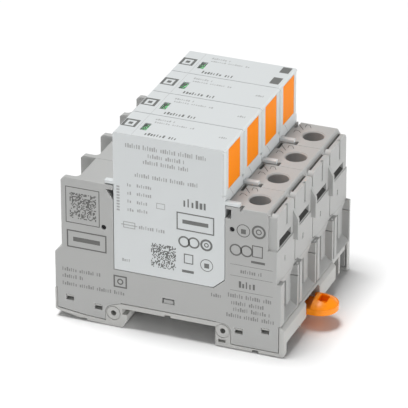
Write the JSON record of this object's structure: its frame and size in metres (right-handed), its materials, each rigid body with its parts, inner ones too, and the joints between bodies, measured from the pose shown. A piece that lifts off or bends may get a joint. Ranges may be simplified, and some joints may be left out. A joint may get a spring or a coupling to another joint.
{
  "type": "din rail surge arrester",
  "caption": "Grey rail-mounted surge arrester base with terminal shoulders, white pull-out plugs with orange ends and green status windows, and an orange foot latch.",
  "frame": {"origin": "on the rail's centre line, in the plane of the feet, midway along the poles", "axes": "+X across the rail towards the foot latch, +Y along the rail, +Z away from the wall, up through the plugs"},
  "size_m": [0.0959, 0.0712, 0.0764],
  "materials": {
    "housing_grey": "fine matt moulded",
    "frame_grey": "fine matt moulded",
    "plug_white": "fine matt moulded",
    "signal_orange": "satin moulded",
    "window_clear": "clear",
    "status_green": "satin moulded",
    "steel": "zinc plated",
    "copper": "tin plated copper alloy",
    "oxide": "dip coated"
  },
  "bodies": {
    "base": {"pole_housing_1": "housing_grey", "pole_housing_2": "housing_grey", "pole_housing_3": "housing_grey", "pole_housing_4": "housing_grey", "lower_frame": "frame_grey", "coupling_pins": "steel", "latch_spring": "steel", "contact_clips_1": "copper", "contact_clips_2": "copper", "contact_clips_3": "copper", "contact_clips_4": "copper", "common_bar": "copper"},
    "plug_1": {"plug_case_1": "plug_white", "plug_base_1": "plug_white", "end_panel_1": "signal_orange", "status_window_1": "window_clear", "varistor_1": "oxide", "contact_blades_1": "copper"},
    "slider_1": {"status_slider_1": "status_green"},
    "line_screw_1": {"line_screw_1": "steel"},
    "line_clamp_1": {"line_clamp_1": "steel"},
    "plug_2": {"plug_case_2": "plug_white", "plug_base_2": "plug_white", "end_panel_2": "signal_orange", "status_window_2": "window_clear", "varistor_2": "oxide", "contact_blades_2": "copper"},
    "slider_2": {"status_slider_2": "status_green"},
    "line_screw_2": {"line_screw_2": "steel"},
    "line_clamp_2": {"line_clamp_2": "steel"},
    "plug_3": {"plug_case_3": "plug_white", "plug_base_3": "plug_white", "end_panel_3": "signal_orange", "status_window_3": "window_clear", "varistor_3": "oxide", "contact_blades_3": "copper"},
    "slider_3": {"status_slider_3": "status_green"},
    "line_screw_3": {"line_screw_3": "steel"},
    "line_clamp_3": {"line_clamp_3": "steel"},
    "plug_4": {"plug_case_4": "plug_white", "plug_base_4": "plug_white", "end_panel_4": "signal_orange", "status_window_4": "window_clear", "spark_gap": "steel", "contact_blades_4": "copper"},
    "slider_4": {"status_slider_4": "status_green"},
    "line_screw_4": {"line_screw_4": "steel"},
    "line_clamp_4": {"line_clamp_4": "steel"},
    "common_screw": {"common_screw": "steel"},
    "common_clamp": {"common_clamp": "steel"},
    "latch": {"foot_latch": "signal_orange"}
  },
  "joints": [
    {"name": "plug_1_pull", "type": "slide", "parent": "base", "child": "plug_1", "axis": [0, 0, 1], "range_m": [0, 0.045]},
    {"name": "status_1_trip", "type": "slide", "parent": "plug_1", "child": "slider_1", "axis": [1, 0, 0], "range_m": [0, 0.003]},
    {"name": "line_clamp_1_rise", "type": "slide", "parent": "base", "child": "line_clamp_1", "axis": [0, 0, 1], "range_m": [0, 0.006]},
    {"name": "line_screw_1_turn", "type": "hinge", "parent": "base", "child": "line_screw_1", "pos_m": [0.03075, -0.0267, 0.0471], "axis": [0, 0, -1], "range_deg": [0, 2700.1]},
    {"name": "plug_2_pull", "type": "slide", "parent": "base", "child": "plug_2", "axis": [0, 0, 1], "range_m": [0, 0.045]},
    {"name": "status_2_trip", "type": "slide", "parent": "plug_2", "child": "slider_2", "axis": [1, 0, 0], "range_m": [0, 0.003]},
    {"name": "line_clamp_2_rise", "type": "slide", "parent": "base", "child": "line_clamp_2", "axis": [0, 0, 1], "range_m": [0, 0.006]},
    {"name": "line_screw_2_turn", "type": "hinge", "parent": "base", "child": "line_screw_2", "pos_m": [0.03075, -0.0089, 0.0471], "axis": [0, 0, -1], "range_deg": [0, 2700.1]},
    {"name": "plug_3_pull", "type": "slide", "parent": "base", "child": "plug_3", "axis": [0, 0, 1], "range_m": [0, 0.045]},
    {"name": "status_3_trip", "type": "slide", "parent": "plug_3", "child": "slider_3", "axis": [1, 0, 0], "range_m": [0, 0.003]},
    {"name": "line_clamp_3_rise", "type": "slide", "parent": "base", "child": "line_clamp_3", "axis": [0, 0, 1], "range_m": [0, 0.006]},
    {"name": "line_screw_3_turn", "type": "hinge", "parent": "base", "child": "line_screw_3", "pos_m": [0.03075, 0.0089, 0.0471], "axis": [0, 0, -1], "range_deg": [0, 2700.1]},
    {"name": "plug_4_pull", "type": "slide", "parent": "base", "child": "plug_4", "axis": [0, 0, 1], "range_m": [0, 0.045]},
    {"name": "status_4_trip", "type": "slide", "parent": "plug_4", "child": "slider_4", "axis": [1, 0, 0], "range_m": [0, 0.003]},
    {"name": "line_clamp_4_rise", "type": "slide", "parent": "base", "child": "line_clamp_4", "axis": [0, 0, 1], "range_m": [0, 0.006]},
    {"name": "line_screw_4_turn", "type": "hinge", "parent": "base", "child": "line_screw_4", "pos_m": [0.03075, 0.0267, 0.0471], "axis": [0, 0, -1], "range_deg": [0, 2700.1]},
    {"name": "common_clamp_rise", "type": "slide", "parent": "base", "child": "common_clamp", "axis": [0, 0, 1], "range_m": [0, 0.006]},
    {"name": "common_screw_turn", "type": "hinge", "parent": "base", "child": "common_screw", "pos_m": [-0.03075, 0.0267, 0.0471], "axis": [0, 0, -1], "range_deg": [0, 2700.1]},
    {"name": "latch_slide", "type": "slide", "parent": "base", "child": "latch", "axis": [1, 0, 0], "range_m": [0, 0.004], "stiffness_N_per_m": 1200, "springref_m": -0.003, "deforming": ["latch_spring"]}
  ],
  "couplings": [
    {"joint": "line_screw_1_turn", "follows": "line_clamp_1_rise", "rad_per_m": 7854},
    {"joint": "line_screw_2_turn", "follows": "line_clamp_2_rise", "rad_per_m": 7854},
    {"joint": "line_screw_3_turn", "follows": "line_clamp_3_rise", "rad_per_m": 7854},
    {"joint": "line_screw_4_turn", "follows": "line_clamp_4_rise", "rad_per_m": 7854},
    {"joint": "common_screw_turn", "follows": "common_clamp_rise", "rad_per_m": 7854}
  ]
}
